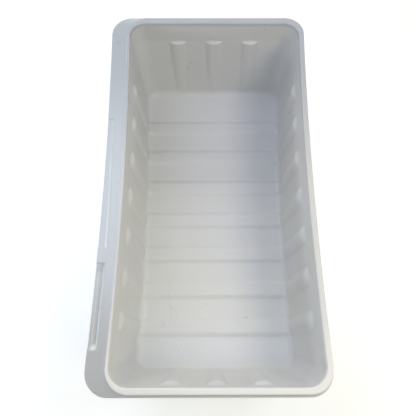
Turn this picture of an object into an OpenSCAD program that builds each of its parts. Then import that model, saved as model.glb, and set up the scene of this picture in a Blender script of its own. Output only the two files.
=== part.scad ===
// Deep paint roller tray with a lift-out liner.
// X runs across the tray, Y along it and Z up. The tray stands on z = 0.

/* [Well] */
// Width of the liner's opening at its two ends
opening_w = 254; // [230:1:280]
// Length of the liner's opening
opening_l = 507; // [460:1:560]
// Depth from the top of the lip to the floor panels
well_d = 160; // [130:1:180]
// How far each long side curves inward at mid length
waist = 6; // [0:0.5:9]
// Corner radius of the opening
corner_r = 24; // [20:1:30]
// Height of the upright band of wall under the lip
band_h = 38; // [25:1:50]
// How far the foot of a long wall stands in from the lip
side_draft = 8.5; // [5:0.5:12]
// How far the foot of an end wall stands in from the lip
end_draft = 16.5; // [10:0.5:20]
// Radius where the walls meet the floor
fillet_r = 10; // [6:1:12]

/* [Flutes and floor ribs] */
// Distance from one flute to the next along the long walls
pitch = 56.8; // [54:0.2:60]
// Number of flutes on each long wall, and of ribs on the floor
side_flutes = 7; // [3:2:7]
// Number of flutes on each end wall
end_flutes = 3; // [1:2:3]
// How far the middle rib stands off the centre of the well
pattern_y = -7; // [-8:1:8]
// Width of a flute at the wall
flute_w = 27; // [20:1:32]
// How far a flute stands proud of the wall
flute_proud = 5; // [3:0.5:7]
// How far a long wall's flute has sunk into the wall at its foot
side_sink = 1.5; // [0:0.5:2]
// How far an end wall's flute has sunk into the wall at its foot
end_sink = 3.5; // [0:0.5:4]
// Height of the slope at the top of a long wall's flute
side_slope = 6; // [1:0.5:10]
// Height of the slope at the top of an end wall's flute
end_slope = 2.5; // [1:0.5:10]
// Width of a floor rib at its foot
rib_w = 27; // [20:1:32]
// Height of a floor rib
rib_h = 4; // [2:0.5:5]

/* [Liner] */
// Wall thickness of the liner
liner_t = 1.8; // [1.4:0.1:2.2]
// Thickness of the liner's lip
lip_t = 2.4; // [2:0.2:4]
// Width of the lip on the right side and the two ends
lip_w = 7.5; // [6:0.5:10]
// Width of the narrow lip beside the grip flange
lip_grip_w = 3.4; // [2.5:0.1:6]
// How much wider the lip and the rim band are at the far end
far_extra = 3; // [0:0.5:4]

/* [Tray] */
// Wall thickness of the tray
tray_t = 2.8; // [2.2:0.1:3.4]
// Gap all round between the liner and the tray
gap = 0.6; // [0.5:0.1:1]
// How far the grip flange reaches past the opening
flange_w = 27.6; // [20:0.2:34]
// How far the tray's edge shows past the lip at the two ends
edge_show = 3.3; // [1:0.1:5]
// Depth of the rim band, from the flange down to its lower edge
rim_h = 9; // [8:0.5:12]
// How far the grip flange slopes down at its outer edge
flange_drop = 2; // [0:0.5:3]
// Height of the foot ring under the base
foot_h = 2; // [1:0.5:3]

/* [Grip flange] */
// Width of the two recesses along the flange's outer edge
recess_w = 11; // [8:0.5:13]
// Length of the shallow recess
shallow_l = 184; // [120:1:190]
// Depth of the shallow recess
shallow_d = 1.6; // [0.8:0.2:2]
// Length of the deep recess
deep_l = 103; // [60:1:110]
// Depth of the deep recess
deep_d = 4; // [3:0.5:4]
// Width of the edge left outside the deep recess's groove
edge_lip = 5; // [3:0.5:6]

/* [Hidden] */

// Heights, from the base up
floor_top = foot_h + 3;
floor_z = floor_top + gap + liner_t;
rim_z = floor_z + well_d;
flange_z = rim_z - lip_t - 0.3;

// Plan sizes
half_w = opening_w / 2;
half_l = opening_l / 2;
band_draft = 0.4;
rim_r = 29;
flute_r = (pow(flute_w / 2, 2) + pow(flute_proud, 2)) / (2 * flute_proud);
flange_x = half_w + flange_w;
flange_t = 5;
edge_t = 2.4;
shallow_y = 1.5;
deep_y = -162;
recess_z = flange_z - flange_drop * 0.75;

// The tray's inner and outer faces, as offsets from the liner's inner face
tray_in = liner_t + gap;
tray_out = tray_in + tray_t;

// Foot ring and the panels between its cross bars
foot_x = half_w - side_draft - fillet_r + 2;
foot_y = half_l - end_draft - fillet_r + 2;
base_panels = 4;
panel_pitch = (2 * foot_y - 20) / base_panels;

// Steps in each corner arc and along each long side
arc_n = 7;
side_n = 9;

function corner(x, y, r, start) =
    [for (i = [0 : arc_n]) [x + r * cos(start + 90 * i / arc_n), y + r * sin(start + 90 * i / arc_n)]];

function side(x, y0, y1) = [for (i = [1 : side_n - 1]) [x, y0 + (y1 - y0) * i / side_n]];

// Inward shift of a long side at y
function bow(y, hy) = waist * max(0, 1 - pow(y / hy, 2));

// Waisted rounded rectangle at height z, reaching left to -xl, right to xr and to +-hy
function ring(xl, xr, hy, r, z) = [
    for (p = concat(
        corner(xr - r, hy - r, r, 0),
        corner(r - xl, hy - r, r, 90),
        side(-xl, hy - r, r - hy),
        corner(r - xl, r - hy, r, 180),
        corner(xr - r, r - hy, r, 270),
        side(xr, r - hy, hy - r)
    )) [p[0] - sign(p[0]) * bow(p[1], hy), p[1], z]
];

// Share of the wall's draft that is used up at a depth below the lip
function drafted(d, total) =
    d < band_h ? band_draft * d / band_h
               : band_draft + (total - band_draft) * (d - band_h) / (well_d - band_h);

// The well's wall surface at depth d, moved outward by off
function well_ring(off, d) =
    ring(
        half_w + off - drafted(d, side_draft),
        half_w + off - drafted(d, side_draft),
        half_l + off - drafted(d, end_draft),
        corner_r + off - 4 * d / well_d,
        rim_z - d
    );

// The same surface with its rounded foot, from the floor up
function foot_rings(off) =
    let (r = fillet_r + off)
    [for (a = [0 : 30 : 90]) well_ring(off - r * (1 - sin(a)), well_d + off - r * (1 - cos(a)))];

// The whole well from its floor to a depth of top below the lip, where a negative top rises above it
function well_rings(off, top) =
    concat(
        foot_rings(off),
        [well_ring(off, band_h)],
        top < 0 ? [well_ring(off, 1.5), well_ring(off + 1.5, 0), well_ring(off + 1.5, top)]
                : [well_ring(off, top)]
    );

// Solid through a stack of rings with equal numbers of points, bottom ring first
module loft(rings) {
    n = len(rings[0]);
    last = (len(rings) - 1) * n;
    walls = [
        for (k = [0 : len(rings) - 2], i = [0 : n - 1], half = [0, 1])
            let (a = k * n + i, b = k * n + (i + 1) % n)
            half == 0 ? [a, a + n, b] : [b, a + n, b + n]
    ];
    base = [[for (i = [0 : n - 1]) i]];
    top = [[for (i = [n - 1 : -1 : 0]) last + i]];
    polyhedron(points = [for (r = rings, p = r) p], faces = concat(base, walls, top), convexity = 6);
}

// Slice of a flute, its wall face at x = 0, thinned by off
module flute_slice(off) {
    linear_extrude(0.2)
        intersection() {
            translate([flute_proud - flute_r, 0])
                circle(r = flute_r - off, $fn = 48);
            translate([-off - 4, -flute_w / 2])
                square([flute_proud + 4, flute_w]);
        }
}

// One flute, from a slope at its top down to the floor, where it has moved in by lean and sunk by sink
module flute(off, lean, slope, sink) {
    top = rim_z - band_h - off;
    hull() {
        translate([0.3 - flute_proud, 0, top])
            flute_slice(off);
        translate([0, 0, top - slope])
            flute_slice(off);
        translate([lean - sink, 0, floor_z - off - 1])
            flute_slice(off);
    }
}

// All the flutes of the well, as they are on a surface that lies off outside the liner's face
module flutes(off) {
    for (i = [0 : side_flutes - 1]) {
        y = pattern_y + (i - (side_flutes - 1) / 2) * pitch;
        x = half_w - band_draft - bow(y, half_l);
        for (turn = [0, 180])
            rotate([0, 0, turn])
                translate([-x, turn == 0 ? y : -y, 0])
                    flute(off, side_draft - band_draft, side_slope, side_sink);
    }
    for (i = [0 : end_flutes - 1], turn = [90, 270])
        rotate([0, 0, turn])
            translate([band_draft - half_l, (i - (end_flutes - 1) / 2) * pitch, 0])
                flute(off, end_draft - band_draft, end_slope, end_sink);
}

// The floor ribs, which run from wall to wall in line with the flutes
module ribs(off) {
    top_w = rib_w / 2 - rib_h - off / 2;
    for (i = [0 : side_flutes - 1]) {
        y = pattern_y + (i - (side_flutes - 1) / 2) * pitch;
        length = 2 * (half_w - side_draft - bow(y, half_l));
        translate([-length / 2, y, floor_z - off])
            rotate([90, 0, 90])
                linear_extrude(length)
                    polygon([
                        [-rib_w / 2 + off / 2, -1],
                        [rib_w / 2 - off / 2, -1],
                        [rib_w / 2 - off / 2, 0],
                        [top_w, rib_h],
                        [-top_w, rib_h],
                        [-rib_w / 2 + off / 2, 0]
                    ]);
    }
}

// Cut along the flange's outer edge, with sloping ends and a sloping inner side
module recess(y, length, from_edge, width, depth) {
    hull()
        for (end = [-1, 1], top = [0, 1]) {
            end_y = y + end * (length / 2 - (1 - top) * depth);
            x = bow(end_y, half_l) - half_w - flange_w + from_edge;
            translate([x, end_y - 0.05, top == 1 ? flange_z + 1 : recess_z - depth])
                cube([width - (1 - top) * depth, 0.1, 0.1]);
        }
}

module deep_recess(grow) {
    recess(deep_y, deep_l + 2 * grow, -2, recess_w + 2 + grow, deep_d / 2 + grow);
    recess(deep_y, deep_l - 4 + 2 * grow, edge_lip - grow, recess_w - edge_lip + 2 * grow, deep_d + grow);
}

// Hollow under the grip flange, filled where the deep recess lies
module flange_hollow() {
    difference() {
        loft([
            for (z = [flange_z - rim_h - 1, flange_z - flange_t])
                ring(flange_x - edge_t, half_w - 20, half_l - 4, rim_r, z)
        ]);
        deep_recess(edge_t);
    }
}

// Rim band round the tray, with the grip flange on its left side
module rim_band() {
    hy = half_l + lip_w + edge_show + far_extra / 2;
    xr = half_w + lip_w + 0.7;
    difference() {
        translate([0, far_extra / 2, 0])
            loft([
                ring(flange_x - 1, xr - 1, hy - 1, rim_r, flange_z - rim_h),
                ring(flange_x, xr, hy, rim_r + 1, flange_z - rim_h + 1.5),
                ring(flange_x, xr, hy, rim_r + 1, flange_z - flange_drop - 1.5),
                ring(flange_x - 0.4, xr - 0.4, hy - 0.4, rim_r + 0.6, flange_z - flange_drop - 0.6),
                ring(flange_x - 1.5, xr - 1.5, hy - 1.5, rim_r, flange_z - flange_drop),
                ring(half_w + lip_grip_w + 1, half_w + lip_w - 2, hy - edge_show - 2, rim_r - 1, flange_z)
            ]);
        flange_hollow();
        recess(shallow_y, shallow_l, -2, recess_w + 2, shallow_d);
        deep_recess(0);
    }
}

// Foot ring and cross bars under the base
module foot() {
    difference() {
        loft([
            for (k = [0, 1, 2])
                let (flare = min(k, 1))
                ring(foot_x + flare, foot_x + flare, foot_y + flare, 16, k * floor_top / 2)
        ]);
        for (i = [0 : base_panels - 1])
            translate([0, (i - (base_panels - 1) / 2) * panel_pitch, -1])
                hull()
                    for (x = [-1, 1], y = [-1, 1])
                        translate([x * (foot_x - waist - 20), y * (panel_pitch / 2 - 18), 0])
                            cylinder(r = 8, h = foot_h + 1, $fn = 24);
    }
}

module tray() {
    color("gainsboro")
        difference() {
            union() {
                rim_band();
                foot();
                difference() {
                    loft(well_rings(tray_out, lip_t + 0.3 + 1.5));
                    flutes(tray_out);
                }
            }
            difference() {
                loft(well_rings(tray_in, -8));
                flutes(tray_in);
            }
        }
}

module lip() {
    xl = half_w + lip_grip_w;
    xr = half_w + lip_w;
    hy = half_l + lip_w + far_extra / 2;
    translate([0, far_extra / 2, 0])
        loft([
            ring(xl - 0.5, xr - 0.5, hy - 0.5, rim_r - 0.5, rim_z - lip_t),
            ring(xl, xr, hy, rim_r, rim_z - lip_t + 0.5),
            ring(xl, xr, hy, rim_r, rim_z - 1.2),
            ring(xl - 0.4, xr - 0.4, hy - 0.4, rim_r, rim_z - 0.5),
            ring(xl - 1.2, xr - 1.6, hy - 1.6, rim_r - 0.5, rim_z)
        ]);
}

module liner() {
    color("whitesmoke")
        difference() {
            union() {
                lip();
                difference() {
                    loft(well_rings(liner_t, 1));
                    flutes(liner_t);
                    ribs(liner_t);
                }
            }
            difference() {
                loft(well_rings(0, -2));
                flutes(0);
                ribs(0);
            }
        }
}

tray();
liner();
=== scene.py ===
"""Deep white paint roller tray with its lift-out liner, on a pale floor with a far backdrop.

Lengths are in millimetres until a mesh is made. Each of the two mouldings is one stack of rings with
the same number of points: from the middle of the floor up the inside of the wall, over the lip or the
flange, and back down the outside.
"""

import math

import bmesh
import bpy
import numpy as np
from mathutils import Matrix, Vector

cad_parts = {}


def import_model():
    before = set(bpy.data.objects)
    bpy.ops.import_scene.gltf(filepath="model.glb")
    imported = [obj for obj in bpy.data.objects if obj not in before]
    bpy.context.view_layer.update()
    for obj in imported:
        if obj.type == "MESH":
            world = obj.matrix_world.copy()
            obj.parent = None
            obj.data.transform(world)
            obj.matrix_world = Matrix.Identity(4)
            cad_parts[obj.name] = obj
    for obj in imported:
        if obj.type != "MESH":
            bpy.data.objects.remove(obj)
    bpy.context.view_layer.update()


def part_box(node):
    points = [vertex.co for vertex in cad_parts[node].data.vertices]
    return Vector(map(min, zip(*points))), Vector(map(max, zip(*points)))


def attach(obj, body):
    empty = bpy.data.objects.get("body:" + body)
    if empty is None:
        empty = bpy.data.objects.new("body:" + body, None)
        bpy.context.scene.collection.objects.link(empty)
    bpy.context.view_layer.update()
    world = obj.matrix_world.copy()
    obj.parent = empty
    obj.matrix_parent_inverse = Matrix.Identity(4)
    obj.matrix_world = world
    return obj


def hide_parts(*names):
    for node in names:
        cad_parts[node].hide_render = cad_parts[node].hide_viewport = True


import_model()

MM = 0.001
TRAY_LO, TRAY_HI = (np.array(c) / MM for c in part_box("tray"))
LINER_LO, LINER_HI = (np.array(c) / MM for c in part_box("liner"))

# Walls, and the heights that follow from them
LINER_T = 1.8
GAP = 0.6
TRAY_T = 2.8
TRAY_IN = LINER_T + GAP
TRAY_OUT = TRAY_IN + TRAY_T
LIP_T = 2.4
LIP_REST = 0.3
RIM_H = 9.0
RIM_Z = LINER_HI[2]
FLANGE_Z = RIM_Z - LIP_T - LIP_REST
WELL_D = RIM_Z - LINER_LO[2] - LINER_T

# Plan of the well, of the lip and of the rim band
LIP_W = 7.5
LIP_GRIP_W = 3.4
WAIST = 6.0
CORNER_R = 24.0
CORNER_TAPER = 4.0
RIM_R = 29.0
EDGE_R = 1.5
LIP_CROWN = 1.1


def pulled_in(half_y, r):
    """How far the waist still pulls a side in where its corner starts, at the outline's widest."""
    return WAIST * (1 - ((half_y - 0.96 * r) / half_y) ** 2)


LIP_Y = (LINER_HI[1] - LINER_LO[1]) / 2
BAND_Y = (TRAY_HI[1] - TRAY_LO[1]) / 2
FAR_SHIFT = (0, (TRAY_HI[1] + TRAY_LO[1]) / 2)
HALF_W = LINER_HI[0] + pulled_in(LIP_Y, RIM_R) - LIP_W
HALF_L = -LINER_LO[1] - LIP_W
FLANGE_X = pulled_in(BAND_Y, RIM_R + 1) - TRAY_LO[0]
BAND_X = TRAY_HI[0] + pulled_in(BAND_Y, RIM_R + 1)
GRIP_W = FLANGE_X - HALF_W - TRAY_IN
BAND_H = 38.0
BAND_DRAFT = 0.4
SIDE_DRAFT = 8.5
END_DRAFT = 16.5
FILLET_R = 10.0

# Flutes up the walls, and ribs across the floor at the side flutes
PITCH = 56.8
PATTERN_Y = -7.0
FLUTE_W = 27.0
FLUTE_PROUD = 5.0
SIDE_SLOPE, SIDE_SINK = 6.0, 1.5
END_SLOPE, END_SINK = 2.5, 4.0
FLUTE_R = ((FLUTE_W / 2) ** 2 + FLUTE_PROUD**2) / (2 * FLUTE_PROUD)
RIB_W = 27.0
RIB_H = 4.0
FLOOR_SPINE_Y = 210.0
LEDGE_STEPS = np.array([-1.5, -0.8, -0.3, 0.1, 0.4, 0.8, 1.2, 1.7, 2.2, 2.8, 3.5, 4.3, 5.2, 6.2, 7.4])
FLOOR_SHARES = (0.03, 0.1, 0.2, 0.35, 0.5, 0.65, 0.8, 0.92, 1.0)
SIDE_FLUTES = [PATTERN_Y + k * PITCH for k in range(-3, 4)]
END_FLUTES = [k * PITCH for k in (-1, 0, 1)]

# Recesses in the grip flange
SHALLOW_Y, SHALLOW_L, SHALLOW_D = 1.5, 184.0, 1.6
DEEP_Y, DEEP_L, DEEP_D = -162.0, 103.0, 4.0
SHALLOW_NEAR, SHALLOW_FAR = SHALLOW_Y - SHALLOW_L / 2, SHALLOW_Y + SHALLOW_L / 2
DEEP_NEAR, DEEP_FAR = DEEP_Y - DEEP_L / 2, DEEP_Y + DEEP_L / 2
RECESS_W = 11.0
RECESS_TAPER = 3.0
SHOULDER_IN = 0.2
EDGE_LIP = 5.0
FLANGE_DROP = 2.0
FLANGE_LEVEL = 2.0

# Hollow under the grip flange: where it starts from the edge, its width and its height
HOLLOW_IN, HOLLOW_W, HOLLOW_H = 2.4, 16.0, 4.0

# Foot ring and cross bars under the base
FOOT_H = 2.0
FOOT_X = HALF_W - SIDE_DRAFT - FILLET_R + 2
FOOT_Y = HALF_L - END_DRAFT - FILLET_R + 2
FOOT_W = 14.0
FOOT_R = 16.0
BAR_W = 20.0
BASE_SPINE_Y = 205.0
PANEL_PITCH = (2 * FOOT_Y - BAR_W) / 4


# ---------------------------------------------------------------- rings


def smooth(x, x0, x1):
    """0 before x0, 1 after x1, with a smooth turn between."""
    t = np.clip((x - x0) / (x1 - x0), 0, 1)
    return t * t * (3 - 2 * t)


def near(places, reach, step):
    """Sample places close to each of several features."""
    spread = np.arange(-reach, reach + step / 2, step)
    return [p + s for p in places for s in spread]


def steps_along(half, features):
    """Sorted sample places from -half to half, no closer than 0.6 mm."""
    places = np.sort(np.concatenate([np.arange(-half, half + 1, 6.0), features]))
    kept = [-half]
    for p in places:
        if kept[-1] + 0.6 < p < half - 0.5:
            kept.append(p)
    return np.array(kept + [half])


# Samples lie at the same places along a side at every height, so edges of flutes and ribs run straight
SIDE_FEET = [c + s for c in SIDE_FLUTES for s in (-11.5, 11.5)]
END_FEET = [c + s for c in END_FLUTES for s in (-12, 12)]
RECESS_ENDS = [SHALLOW_NEAR, SHALLOW_FAR, DEEP_NEAR, DEEP_FAR]
BAR_EDGES = [k * PANEL_PITCH + s for k in (-1, 0, 1) for s in (-BAR_W / 2, BAR_W / 2)]
SIDE_FEATURES = near(SIDE_FEET, 4.0, 0.8) + near(SIDE_FLUTES, 6, 3)
SIDE_FEATURES += near(RECESS_ENDS, 5, 0.8) + near(BAR_EDGES, 1.6, 0.8)
SIDE_STEPS = steps_along(216, SIDE_FEATURES)
END_STEPS = steps_along(76, near(END_FEET, 3.2, 0.8))
ARC = 20
LEAD = 6


def ring(left, right, half_y, r):
    """Waisted rounded rectangle from -left to right and +-half_y, anticlockwise, as (n, 2) points."""
    angles = np.radians(np.linspace(0, 90, ARC + 1))
    low, high, top = r - left, right - r, half_y - r

    def arc(cx, cy, start):
        t = angles + math.radians(start)
        return np.stack([cx + r * np.cos(t), cy + r * np.sin(t)], 1)

    def along(steps, first, last):
        lead = np.linspace(first, steps[0], LEAD + 1)[1:-1]
        tail = np.linspace(steps[-1], last, LEAD + 1)[1:-1]
        return np.concatenate([lead, steps, tail])

    ends = along(END_STEPS, low, high)
    sides = along(SIDE_STEPS, -top, top)
    p = np.concatenate([
        arc(high, top, 0),
        np.stack([ends[::-1], np.full(len(ends), half_y)], 1),
        arc(low, top, 90),
        np.stack([np.full(len(sides), -left), sides[::-1]], 1),
        arc(low, -top, 180),
        np.stack([ends, np.full(len(ends), -half_y)], 1),
        arc(high, -top, 270),
        np.stack([np.full(len(sides), right), sides], 1),
    ])
    p[:, 0] -= np.sign(p[:, 0]) * WAIST * np.clip(1 - (p[:, 1] / half_y) ** 2, 0, 1)
    return p


COUNTS = [ARC + 1, len(END_STEPS) + 2 * LEAD - 2, ARC + 1, len(SIDE_STEPS) + 2 * LEAD - 2] * 2
STRETCH = np.repeat(["corner", "end", "corner", "side"] * 2, COUNTS)
ON_END = STRETCH == "end"
ON_SIDE = STRETCH == "side"


def raised(p, z):
    """A flat ring lifted to height z, which may differ from point to point."""
    return np.column_stack([p, np.broadcast_to(z, len(p))])


def drafted(d, total):
    """How far the wall has leant in at depth d below the lip."""
    if d < BAND_H:
        return BAND_DRAFT * d / BAND_H
    return BAND_DRAFT + (total - BAND_DRAFT) * (d - BAND_H) / (WELL_D - BAND_H)


def well_ring(off, d):
    """The well's wall at depth d, moved outward by off, without flutes."""
    x = HALF_W + off - drafted(d, SIDE_DRAFT)
    y = HALF_L + off - drafted(d, END_DRAFT)
    return raised(ring(x, x, y, CORNER_R + off - CORNER_TAPER * d / WELL_D), RIM_Z - d)


def flute_rise(a, centres, off, sunk):
    """How far flutes stand proud at distance a along a wall: circle segments with soft feet, less sunk."""
    rise = np.full(len(a), -9.0)
    for c in centres:
        reach = np.clip((FLUTE_R - off) ** 2 - (a - c) ** 2, 0, None)
        rise = np.maximum(rise, np.sqrt(reach) - (FLUTE_R - FLUTE_PROUD - off) - sunk)
    return 0.5 * (rise + np.sqrt(rise**2 + 0.3)) * smooth(rise, -1.5, 0.3)


def sunk_in(below, slope, sink):
    """How deep a flute lies in its wall at a distance below the ledge."""
    if below < 0:
        return FLUTE_PROUD - below
    turn = min(below / (1.25 * slope), 1) * math.pi / 2
    return FLUTE_PROUD * (1 - math.sin(turn)) + sink * max(below - slope, 0) / (WELL_D - BAND_H - slope)


def rib_rise(y, off):
    """Height of the floor ribs at y: flat tops with sloping, rounded sides."""
    foot = RIB_W / 2 - off / 2
    return sum(RIB_H * smooth(-np.abs(y - c), -foot - 1.8, RIB_H - foot + 2.4) for c in SIDE_FLUTES)


def inward(p):
    """Unit steps towards the middle of the well from each sample of a ring."""
    step = np.zeros_like(p)
    step[ON_SIDE, 0] = -np.sign(p[ON_SIDE, 0])
    step[ON_END, 1] = -np.sign(p[ON_END, 1])
    return step


def fluted(p, off, wall_share, rib_share):
    """Moves a ring by its flutes, in towards the well, and by its ribs, up."""
    rise = np.zeros(len(p))
    below = RIM_Z - p[0, 2] - BAND_H - off
    rise[ON_SIDE] = flute_rise(p[ON_SIDE, 1], SIDE_FLUTES, off, sunk_in(below, SIDE_SLOPE, SIDE_SINK))
    rise[ON_END] = flute_rise(p[ON_END, 0], END_FLUTES, off, sunk_in(below, END_SLOPE, END_SINK))
    ribs = np.where(ON_SIDE, rib_rise(p[:, 1], off), 0)
    return p + inward(p) * (rise * wall_share)[:, None] + np.array([0, 0, 1]) * (ribs * rib_share)[:, None]


def wall_rings(off, top, ribs):
    """Rings down one skin of the well, from depth top to the middle of the floor."""
    ledge = BAND_H + off
    floor_d = WELL_D + off
    r = FILLET_R + off
    band = [d for d in (4, 8, 13, 19, 25, 30, 34) if d > top + 1.5]
    shelf = list(ledge + LEDGE_STEPS)
    wall = list(np.linspace(ledge + 9, floor_d - r, 16))
    rings = [fluted(well_ring(off, d), off, 1, 0) for d in [top] + band + shelf + wall]
    for a in np.radians(np.linspace(90, 0, 10))[1:]:
        p = well_ring(off - r * (1 - math.sin(a)), floor_d - r * (1 - math.cos(a)))
        turn = smooth(math.cos(a), 0.0, 1.0)
        rings.append(fluted(p, off, math.sin(a) * (1 - turn), turn * ribs))
    return rings + floor_rings(rings[-1], lambda y: RIM_Z - floor_d + ribs * rib_rise(y, off))


def floor_rings(edge, height):
    """Rings from a floor's edge in to a line along its middle, straight across the tray."""
    spine = np.column_stack([np.zeros(len(edge)), np.clip(edge[:, 1], -FLOOR_SPINE_Y, FLOOR_SPINE_Y)])
    rings = []
    for f in FLOOR_SHARES:
        p = edge[:, :2] * (1 - f) + spine * f
        rings.append(raised(p, height(p[:, 1])))
    return rings


def shell(name, rings, material, node, body):
    """One closed moulding through a stack of rings, which stands for a CAD node."""
    n = len(rings[0])
    points = np.concatenate(rings) * MM
    k = np.arange((len(rings) - 1) * n)
    nxt = (k // n) * n + (k + 1) % n
    faces = np.stack([k, nxt, nxt + n, k + n], 1)
    mesh = bpy.data.meshes.new(name)
    mesh.from_pydata(points.tolist(), [], faces.tolist())
    obj = bpy.data.objects.new(name, mesh)
    bpy.context.scene.collection.objects.link(obj)
    bm = bmesh.new()
    bm.from_mesh(mesh)
    bmesh.ops.remove_doubles(bm, verts=bm.verts, dist=2e-6)
    bmesh.ops.dissolve_degenerate(bm, edges=bm.edges, dist=1e-7)
    bmesh.ops.recalc_face_normals(bm, faces=bm.faces)
    bm.to_mesh(mesh)
    bm.free()
    mesh.shade_smooth()
    mesh.set_sharp_from_angle(angle=math.radians(55))
    mesh.materials.append(material)
    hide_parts(node)
    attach(obj, body)


# ---------------------------------------------------------------- the two mouldings


def blend_rings(a, b, f):
    """The ring a share f of the way from a to b."""
    return a * (1 - f) + b * f


def lip_rings():
    """The liner's lip from the well's inner edge, over the top and back under it."""
    turn = np.radians([0, 20, 40, 60, 80])
    inner = [well_ring(EDGE_R * (1 - math.cos(t)), EDGE_R * (1 - math.sin(t))) for t in turn]
    edge = well_ring(EDGE_R, 0)
    outer = raised(ring(HALF_W + LIP_GRIP_W, HALF_W + LIP_W, LIP_Y, RIM_R) + FAR_SHIFT, RIM_Z)
    top = [blend_rings(edge, outer, f) for f in (0.0, 0.15, 0.3, 0.5, 0.65)]
    for t in np.radians([15, 30, 45, 60, 75, 90]):
        f = 1 - 0.3 * (1 - math.sin(t))
        drop = LIP_CROWN * (1 - math.cos(t))
        top.append(blend_rings(edge, outer, f) - [0, 0, drop])
    under = [outer - [0, 0, 1.9], blend_rings(edge, outer, 1 - 0.06) - [0, 0, LIP_T]]
    root = well_ring(LINER_T, LIP_T)
    under.append(blend_rings(root, under[-1], 0.5))
    return inner + top + under


def liner_rings():
    """The inside of the well, the lip, and the outside of the well with the undersides of its ribs."""
    inside = wall_rings(0, EDGE_R, 1)
    outside = wall_rings(LINER_T, LIP_T, 1)
    return inside[::-1] + lip_rings()[1:] + outside


def recess_drop(y, e):
    """Depth of the flange's two recesses at y, at distance e in from the flange's outer edge."""
    edge = RECESS_W - SHOULDER_IN - RECESS_TAPER * smooth(y, SHALLOW_NEAR, SHALLOW_FAR)
    step = smooth(edge - e, -1.8, 1.8)
    in_shallow = smooth(-np.abs(y - SHALLOW_Y), -SHALLOW_L / 2 - 0.5, -SHALLOW_L / 2 + 1.8)
    from_near, from_far = y - DEEP_NEAR, DEEP_FAR - y
    in_deep = smooth(from_near, -0.5, 4.0) * smooth(from_far, -0.4, 1.4)
    in_groove = smooth(from_near, 0.5, 6.5) * smooth(from_far, 0.3, 2.4)
    groove = smooth(e, EDGE_LIP - 0.8, EDGE_LIP + 1.4) * smooth(-e, -RECESS_W - 0.6, -RECESS_W + 3.0)
    return SHALLOW_D * step * in_shallow + DEEP_D / 2 * (step * in_deep + groove * in_groove)


def flange_rings():
    """Top of the rim band and grip flange, its edge, and the hollow under the grip flange."""
    inner = well_ring(TRAY_IN, RIM_Z - FLANGE_Z)
    outer = raised(ring(FLANGE_X, BAND_X, BAND_Y, RIM_R + 1) + FAR_SHIFT, FLANGE_Z)
    width = np.linalg.norm((outer - inner)[:, :2], axis=1)
    grip = ON_SIDE & (inner[:, 0] < 0)
    y = inner[:, 1]
    rings = []

    def at(e_left, edge_drop):
        """A ring at e_left in from the outer edge on the grip side, and in proportion elsewhere."""
        f = 1 - e_left / GRIP_W
        p = blend_rings(inner, outer, f)
        e = (1 - f) * width
        slope = np.clip((f * width - FLANGE_LEVEL) / (width - FLANGE_LEVEL - EDGE_R), 0, 1)
        p[:, 2] -= FLANGE_DROP * slope + edge_drop + np.where(grip, recess_drop(y, e), 0)
        return p

    across = [GRIP_W, 22, 20, 17, 15, *np.arange(13.6, 4.1, -0.6), 3.3, 2.4]
    for e in across:
        rings.append(at(e, 0))
    for t in np.radians([15, 30, 45, 60, 75, 90]):
        rings.append(at(EDGE_R * (1 - math.sin(t)), EDGE_R * (1 - math.cos(t))))
    low = FLANGE_Z - RIM_H
    rings.append(raised(outer[:, :2], low + 1.2))
    under = [(0.4, low + 0.35), (1.0, low), (2.2, low)]
    for e, z in under:
        p = blend_rings(inner, outer, 1 - e / GRIP_W)
        rings.append(raised(p[:, :2], z))

    # The hollow lies where there is room between the edge and the wall, and stops behind the deep recess
    wall = well_ring(TRAY_OUT, RIM_Z - low)
    edge = blend_rings(inner, outer, 1 - HOLLOW_IN / GRIP_W)
    room = smooth(np.linalg.norm((edge - wall)[:, :2], axis=1) * (edge[:, 0] < wall[:, 0] + 1), 8, 14)
    for f in (0.0, 0.1, 0.3, 0.5, 0.7, 0.9, 1.0):
        p = blend_rings(edge, wall, f)
        e = HOLLOW_IN + f * HOLLOW_W
        filled = smooth(-np.abs(y - DEEP_Y), -DEEP_L / 2 - 4, -DEEP_L / 2 - 1.5) * smooth(-e, -14.5, -13)
        rise = HOLLOW_H * room * (1 - filled) * (smooth(f, -0.01, 0.03) if f < 1 else 1)
        rings.append(raised(p[:, :2], low + rise))
    return rings


def base_rings():
    """Foot ring and the panels between its cross bars, under the base."""
    rings = []
    for out, z in ((1.0, 1.9), (1.0, 1.0), (0.6, 0.3), (0.0, 0.0), (0.0, 0.0)):
        rings.append(raised(ring(FOOT_X + out, FOOT_X + out, FOOT_Y + out, FOOT_R), z))

    def panel(p, inset):
        """Height of the underside: the panels lie higher than the foot ring and the bars."""
        bar = np.min([np.abs(p[:, 1] - k * PANEL_PITCH) for k in (-1, 0, 1)], axis=0)
        past_ring = smooth(inset, FOOT_W - 0.8, FOOT_W + 0.8)
        return FOOT_H * smooth(bar, BAR_W / 2 - 0.8, BAR_W / 2 + 0.8) * past_ring

    for inset in (4, 8, 12, 13, 13.5, 14, 14.5, 15, 16):
        p = ring(FOOT_X - inset, FOOT_X - inset, FOOT_Y - inset, max(FOOT_R - inset, 6))
        rings.append(raised(p, panel(p, inset)))
    edge = rings[-1]
    spine = np.column_stack([np.zeros(len(edge)), np.clip(edge[:, 1], -BASE_SPINE_Y, BASE_SPINE_Y)])
    for f in (0.1, 0.3, 0.6, 0.85, 1.0):
        p = edge[:, :2] * (1 - f) + spine * f
        rings.append(raised(p, panel(p, FOOT_W + 1)))
    return rings


def tray_rings():
    """The outer wall ends where the foot ring starts."""
    inside = wall_rings(TRAY_IN, RIM_Z - FLANGE_Z, 0)
    outside = wall_rings(TRAY_OUT, RIM_Z - FLANGE_Z + RIM_H + 1, 0)[: -len(FLOOR_SHARES)]
    above_foot = [p for p in outside if p[ON_SIDE][:, 0].max() > FOOT_X + 0.8]
    return inside[::-1] + flange_rings() + above_foot + base_rings()


# ---------------------------------------------------------------- materials


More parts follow.
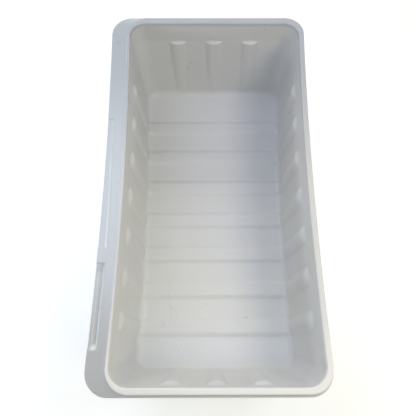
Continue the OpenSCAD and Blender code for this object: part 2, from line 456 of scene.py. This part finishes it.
# Heights in metres over which a painted patch of shade and light sets in, from none to all of it
ALL_HEIGHTS = (-0.02, -0.01)
AT_RIM = (0.158, 0.1645)
AT_FLANGE = (0.155, 0.158)


class Nodes:
    """Short names for the shader nodes that the plastics use."""

    def __init__(self, material):
        material.use_nodes = True
        self.tree = material.node_tree
        self.shader = self.tree.nodes["Principled BSDF"]
        self.where = self.tree.nodes.new("ShaderNodeTexCoord").outputs["Object"]

    def link(self, source, socket):
        if isinstance(source, bpy.types.NodeSocket):
            self.tree.links.new(source, socket)
        else:
            socket.default_value = source

    def place(self, scale, shift=(0, 0, 0)):
        """Object coordinates, scaled per axis and shifted."""
        n = self.tree.nodes.new("ShaderNodeMapping")
        self.link(self.where, n.inputs["Vector"])
        n.inputs["Scale"].default_value = scale
        n.inputs["Location"].default_value = shift
        return n.outputs["Vector"]

    def noise(self, scale, detail=2.0, roughness=0.5, distortion=0.0, where=None):
        n = self.tree.nodes.new("ShaderNodeTexNoise")
        self.link(where or self.where, n.inputs["Vector"])
        n.inputs["Scale"].default_value = scale
        n.inputs["Detail"].default_value = detail
        n.inputs["Roughness"].default_value = roughness
        n.inputs["Distortion"].default_value = distortion
        return n.outputs[0]

    def cells(self, scale, where=None):
        n = self.tree.nodes.new("ShaderNodeTexVoronoi")
        self.link(where or self.where, n.inputs["Vector"])
        n.inputs["Scale"].default_value = scale
        return n.outputs["Distance"]

    def ramp(self, value, x0, x1, y0=0.0, y1=1.0):
        """Maps x0..x1 to y0..y1 with a smooth turn."""
        n = self.tree.nodes.new("ShaderNodeMapRange")
        n.interpolation_type = "SMOOTHSTEP"
        for socket, v in zip(n.inputs, (value, x0, x1, y0, y1)):
            self.link(v, socket)
        return n.outputs[0]

    def math(self, kind, a, b=0.0):
        n = self.tree.nodes.new("ShaderNodeMath")
        n.operation = kind
        self.link(a, n.inputs[0])
        self.link(b, n.inputs[1])
        return n.outputs[0]

    def mix(self, factor, a, b):
        """Blends two colours."""
        n = self.tree.nodes.new("ShaderNodeMix")
        n.data_type = "RGBA"
        self.link(factor, n.inputs[0])
        self.link((*a, 1) if isinstance(a, tuple) else a, n.inputs[6])
        self.link((*b, 1) if isinstance(b, tuple) else b, n.inputs[7])
        return n.outputs[2]

    def bump(self, height, distance, strength=1.0, below=None):
        n = self.tree.nodes.new("ShaderNodeBump")
        n.inputs["Strength"].default_value = strength
        n.inputs["Distance"].default_value = distance
        self.link(height, n.inputs["Height"])
        if below:
            self.link(below, n.inputs["Normal"])
        return n.outputs["Normal"]

    def along(self, axis):
        """The object coordinate along one axis."""
        n = self.tree.nodes.new("ShaderNodeSeparateXYZ")
        self.link(self.where, n.inputs[0])
        return n.outputs[axis]

    def edges(self, low, high):
        """A ramp over the curvature, which is 0.5 on flats, more on convex edges and less in hollows."""
        n = self.tree.nodes.new("ShaderNodeNewGeometry")
        return self.ramp(n.outputs["Pointiness"], low, high)


def grip_highlights_and_shade(n, tone):
    """Painted highlights and shade on the grip flange: the recesses' shoulder and the deep one's near end
    are painted pale as highlights, and its far end and the floor of its groove are painted dark as shade.
    """
    # Distance in from the flange's waisted outer edge, and the same measured to follow the narrowing recess
    x, y = n.along("X"), n.along("Y")
    bow = n.math("MULTIPLY", n.math("MULTIPLY", y, y), WAIST / BAND_Y**2 / MM)
    e = n.math("ADD", n.math("ADD", x, (FLANGE_X - WAIST) * MM), bow)
    taper = n.ramp(y, SHALLOW_NEAR * MM, SHALLOW_FAR * MM, 0.0, RECESS_TAPER * MM)
    from_edge = n.math("ADD", e, taper)
    blotches = n.ramp(n.noise(35, 3, 0.6), 0.3, 0.6, 0.55)
    on_top = n.math("MULTIPLY", n.ramp(n.along("Z"), *AT_FLANGE), blotches)

    def between(value, low, high, soft):
        """1 between two places in millimetres, with soft ends."""
        rise = n.ramp(value, (low - soft) * MM, (low + soft) * MM)
        fall = n.ramp(value, (high + soft) * MM, (high - soft) * MM)
        return n.math("MULTIPLY", rise, fall)

    # The shoulder's painted highlight line, fainter towards the far end and broken between the two recesses
    gap_y = (DEEP_FAR + SHALLOW_NEAR) / 2
    apart = n.ramp(n.math("ABSOLUTE", n.math("SUBTRACT", y, gap_y * MM)), 0.0095, 0.013)
    shoulder = n.math("MULTIPLY", between(from_edge, 8.8, 11.2, 0.8), apart)
    shoulder = n.math("MULTIPLY", shoulder, n.ramp(y, 0.09, -0.05, 0.25))
    shoulder = n.math("MULTIPLY", shoulder, between(y, DEEP_NEAR + 2.5, SHALLOW_FAR - 3.5, 2))
    near_end = n.math("MULTIPLY", between(y, DEEP_NEAR + 1, DEEP_NEAR + 7, 1.6), between(e, 4, 9.5, 2))
    # Painted highlights on the shoulder and at the deep recess's near end
    painted_highlight = n.math("MULTIPLY", n.math("MAXIMUM", shoulder, near_end), on_top)
    tone = n.mix(n.math("MULTIPLY", painted_highlight, 0.95), tone, (0.93, 0.96, 0.97))

    # Painted shade at the deep recess's far end and along its groove floor
    far_end = n.math("MULTIPLY", between(y, DEEP_FAR - 10, DEEP_FAR - 2, 2), between(e, 1.5, 8, 2))
    trough = n.math("MULTIPLY", between(y, DEEP_NEAR + 4.5, DEEP_FAR - 2, 2), between(e, 5, 7.8, 1.4))
    painted_shade = n.math("MAXIMUM", far_end, n.math("MULTIPLY", trough, 0.5))
    painted_shade = n.math("MULTIPLY", n.math("MULTIPLY", painted_shade, on_top), 0.45)
    return n.mix(painted_shade, tone, (0.42, 0.405, 0.41))


def plastic(name, colour, warm, cool, roughness, wave, seed, painted_shade_and_light, painted_light=None):
    """Semi-gloss white plastic: cloudy tone, painted bands of shade and light, darkened hollows, orange
    peel, scuffs, dulled edges and stray specks.
    """
    m = bpy.data.materials.new(name)
    n = Nodes(m)
    even = n.place((1, 1, 1), seed)

    # Broad clouds between a warmer and a cooler white, and finer mottling
    clouds = n.ramp(n.noise(7, 2, 0.5, 0.3, n.place((1, 0.6, 1), seed)), 0.32, 0.68)
    tone = n.mix(clouds, warm, cool)
    mottle = n.ramp(n.noise(55, 4, 0.62, 0.2, even), 0.3, 0.7)
    tone = n.mix(n.math("MULTIPLY", mottle, 0.35), tone, colour)

    # Faint streaks from the draw of the sheet, across the tray
    streaks = n.ramp(n.noise(1, 3, 0.6, 0.0, n.place((9, 420, 60), seed)), 0.45, 0.75)
    tone = n.mix(n.math("MULTIPLY", streaks, 0.07), tone, tuple(c * 0.8 for c in colour))

    # Painted shade and light: bands along Y and over a span of heights, darker where shade falls and paler
    # where light falls
    for start, end, heights, share, painted_tone in painted_shade_and_light:
        patch = n.math("MULTIPLY", n.ramp(n.along("Y"), start, end), n.ramp(n.along("Z"), *heights))
        tone = n.mix(n.math("MULTIPLY", patch, share), tone, painted_tone)

    # Hollows are darkened in noisy patches, and edges are rubbed pale
    hollow = n.edges(0.497, 0.44)
    darkened_hollows = n.math("MULTIPLY", hollow, n.ramp(n.noise(30, 4, 0.6), 0.35, 0.7))
    tone = n.mix(n.math("MULTIPLY", darkened_hollows, 0.14), tone, (0.40, 0.39, 0.35))
    rubbed = n.math("MULTIPLY", n.edges(0.514, 0.55), n.ramp(n.noise(60, 3, 0.6), 0.3, 0.6, 0.4))
    tone = n.mix(n.math("MULTIPLY", rubbed, 0.5), tone, (0.95, 0.96, 0.96))

    # Painted highlights and shade, where given
    if painted_light:
        tone = painted_light(n, tone)

    # Scuffs: thin wandering lines in patches
    wander = n.noise(26, 2, 0.5, 0.8, n.place((1, 0.35, 1), seed))
    lines = n.math("ABSOLUTE", n.math("SUBTRACT", wander, 0.5))
    patches = n.ramp(n.noise(11, 2, 0.5, 0.0, even), 0.52, 0.66)
    scuffs = n.math("MULTIPLY", n.ramp(lines, 0.0045, 0.0015), patches)
    tone = n.mix(n.math("MULTIPLY", scuffs, 0.22), tone, (0.52, 0.53, 0.53))

    # Stray dark specks of dried paint and dust
    speck = n.ramp(n.cells(48, even), 0.055, 0.03)
    rare = n.ramp(n.noise(17, 1, 0.5, 0.0, even), 0.56, 0.60)
    specks = n.math("MULTIPLY", speck, rare)
    tone = n.mix(n.math("MULTIPLY", specks, 0.7), tone, (0.20, 0.19, 0.18))
    n.link(tone, n.shader.inputs["Base Color"])

    # Gloss varies with handling, and is lost on scuffs and in the darkened hollows
    gloss = n.ramp(n.noise(24, 4, 0.6, 0.4, even), 0.3, 0.7, roughness - 0.03, roughness + 0.05)
    gloss = n.math("ADD", gloss, n.math("MULTIPLY", scuffs, 0.12))
    gloss = n.math("ADD", gloss, n.math("MULTIPLY", darkened_hollows, 0.1))
    n.link(gloss, n.shader.inputs["Roughness"])
    n.shader.inputs["IOR"].default_value = 1.49
    n.shader.inputs["Subsurface Weight"].default_value = 0.12
    n.shader.inputs["Subsurface Radius"].default_value = (0.006, 0.006, 0.005)
    n.shader.inputs["Subsurface Scale"].default_value = 1.0

    # Orange peel over slow waves in the wall, with the scuffs cut in
    waves = n.bump(n.noise(14, 3, 0.55, 0.3, even), 0.004, wave)
    peel = n.bump(n.noise(420, 2, 0.5), 0.00035, 0.35, waves)
    n.link(n.bump(n.math("MULTIPLY", scuffs, -1.0), 0.0002, 0.4, peel), n.shader.inputs["Normal"])
    return m


# ---------------------------------------------------------------- stage, light and camera


def floor():
    """A pale floor that turns up into a low backdrop a long way off."""
    profile = [(0.5, 0), (9.0, 0), (10.0, 0.15), (10.8, 0.6), (11.4, 1.3), (11.7, 2.2), (11.8, 3.6)]
    sides = 64
    points = [(0, 0, 0)]
    for r, z in profile:
        points += [(r * math.cos(t), r * math.sin(t), z) for t in np.arange(sides) * math.tau / sides]
    faces = [(0, 1 + k, 1 + (k + 1) % sides) for k in range(sides)]
    for j in range(len(profile) - 1):
        a, b = 1 + j * sides, 1 + (j + 1) * sides
        faces += [(a + k, b + k, b + (k + 1) % sides, a + (k + 1) % sides) for k in range(sides)]
    mesh = bpy.data.meshes.new("studio_floor")
    mesh.from_pydata(points, [], faces)
    mesh.shade_smooth()
    obj = bpy.data.objects.new("studio_floor", mesh)
    bpy.context.scene.collection.objects.link(obj)
    m = bpy.data.materials.new("studio_floor")
    m.use_nodes = True
    b = m.node_tree.nodes["Principled BSDF"]
    b.inputs["Base Color"].default_value = (0.95, 0.95, 0.95, 1)
    b.inputs["Roughness"].default_value = 0.9
    b.inputs["Specular IOR Level"].default_value = 0.1
    b.inputs["Emission Color"].default_value = (1, 1, 1, 1)
    b.inputs["Emission Strength"].default_value = 0.37
    mesh.materials.append(m)


def area(name, at, target, size, power, colour):
    light = bpy.data.lights.new(name, "AREA")
    light.shape = "RECTANGLE"
    light.size, light.size_y = size
    light.energy = power
    light.color = colour
    obj = bpy.data.objects.new(name, light)
    obj.location = at
    obj.rotation_euler = (Vector(target) - Vector(at)).to_track_quat("-Z", "Y").to_euler()
    bpy.context.scene.collection.objects.link(obj)


def camera():
    """The photograph's camera: nearly overhead, leaning back from the near end of the tray."""
    tilt, yaw, roll = math.radians(18.81), math.radians(-0.62), math.radians(0.499)
    away = Vector((0, math.sin(tilt), -math.cos(tilt)))
    up = Vector((0, math.cos(tilt), math.sin(tilt)))
    right = Vector((1, 0, 0))
    turn = Matrix.Rotation(yaw, 3, "Z")
    away, up, right = turn @ away, turn @ up, turn @ right
    x = right * math.cos(roll) + up * math.sin(roll)
    y = up * math.cos(roll) - right * math.sin(roll)
    scale = 2 * HALF_W * MM
    at = Vector((-0.0486, -0.8693, 2.0978)) * scale + Vector((0, 0, RIM_Z * MM))
    data = bpy.data.cameras.new("camera")
    data.lens = 37.92
    data.sensor_width = 36
    obj = bpy.data.objects.new("camera", data)
    m = Matrix.Identity(4)
    for i in range(3):
        m[i][0], m[i][1], m[i][2], m[i][3] = x[i], y[i], -away[i], at[i]
    obj.matrix_world = m
    bpy.context.scene.collection.objects.link(obj)
    bpy.context.scene.camera = obj


def world(colour, strength):
    w = bpy.data.worlds.new("studio")
    w.use_nodes = True
    back = w.node_tree.nodes["Background"]
    back.inputs["Color"].default_value = (*colour, 1)
    back.inputs["Strength"].default_value = strength
    bpy.context.scene.world = w


# Name, place, target, size, power and colour. Places and sizes are in metres
LIGHTS = [
    ("key", (0.55, 0.0, 1.15), (0, 0, 0.1), (0.35, 0.35), 2.3, (1.0, 0.95, 1.0)),
    ("window", (-1.0, 0.2, 0.8), (-0.1, 0, 0.15), (0.6, 0.25), 0.4, (0.70, 1.0, 0.84)),
    ("left_low", (-0.42, -0.02, 0.235), (-0.14, -0.02, 0.17), (0.6, 0.03), 0.24, (0.92, 1.0, 0.99)),
    ("left_top", (-0.52, 0.32, 1.1), (0, 0, 0.1), (0.5, 0.6), 3.1, (0.75, 0.76, 0.98)),
    ("near_low", (0.45, -0.45, 0.8), (0, -0.1, 0.1), (0.3, 0.3), 1.5, (0.97, 0.86, 0.45)),
    ("over", (0.1, -0.33, 1.3), (0, -0.3, 0), (0.5, 0.3), 2.6, (0.72, 0.86, 1.0)),
    ("far_low", (0.0, 1.3, 0.75), (0, 0, 0.15), (0.8, 0.5), 5.4, (1.0, 0.95, 0.78)),
]
bpy.context.scene.view_settings.view_transform = "Standard"
camera()
world((0.95, 1.0, 0.96), 0.11)
floor()
for light in LIGHTS:
    area(*light)

# Each band of painted shade and light: where it starts and ends along Y in metres, its heights, its share
# and its colour
LINER_PLASTIC = plastic(
    "liner_plastic",
    colour=(0.82, 0.82, 0.81),
    warm=(0.82, 0.815, 0.79),
    cool=(0.81, 0.815, 0.82),
    roughness=0.38,
    wave=0.4,
    seed=(0.3, 0.7, 0.1),
    painted_shade_and_light=[
        # Painted shade: the liner darker towards the far end
        (-0.02, 0.21, ALL_HEIGHTS, 0.55, (0.67, 0.67, 0.685)),
        # Painted shade: the far lip darker and cooler
        (-0.04, 0.22, AT_RIM, 0.95, (0.55, 0.58, 0.64)),
        # Painted light: the near lip paler and warmer
        (-0.15, -0.25, AT_RIM, 1.0, (0.98, 0.96, 0.93)),
    ],
)
TRAY_PLASTIC = plastic(
    "tray_plastic",
    colour=(0.70, 0.73, 0.76),
    warm=(0.715, 0.73, 0.745),
    cool=(0.68, 0.72, 0.755),
    roughness=0.30,
    wave=0.08,
    seed=(2.3, 1.7, 0.6),
    painted_shade_and_light=[
        # Painted shade: the tray darker and cooler towards the far end
        (0.02, 0.20, ALL_HEIGHTS, 0.8, (0.55, 0.59, 0.635)),
        # Painted shade: the tray darker grey towards the near end
        (-0.11, -0.22, ALL_HEIGHTS, 0.9, (0.595, 0.59, 0.59)),
    ],
    painted_light=grip_highlights_and_shade,
)
shell("liner_moulding", liner_rings(), LINER_PLASTIC, "liner", "liner")
shell("tray_moulding", tray_rings(), TRAY_PLASTIC, "tray", "tray")
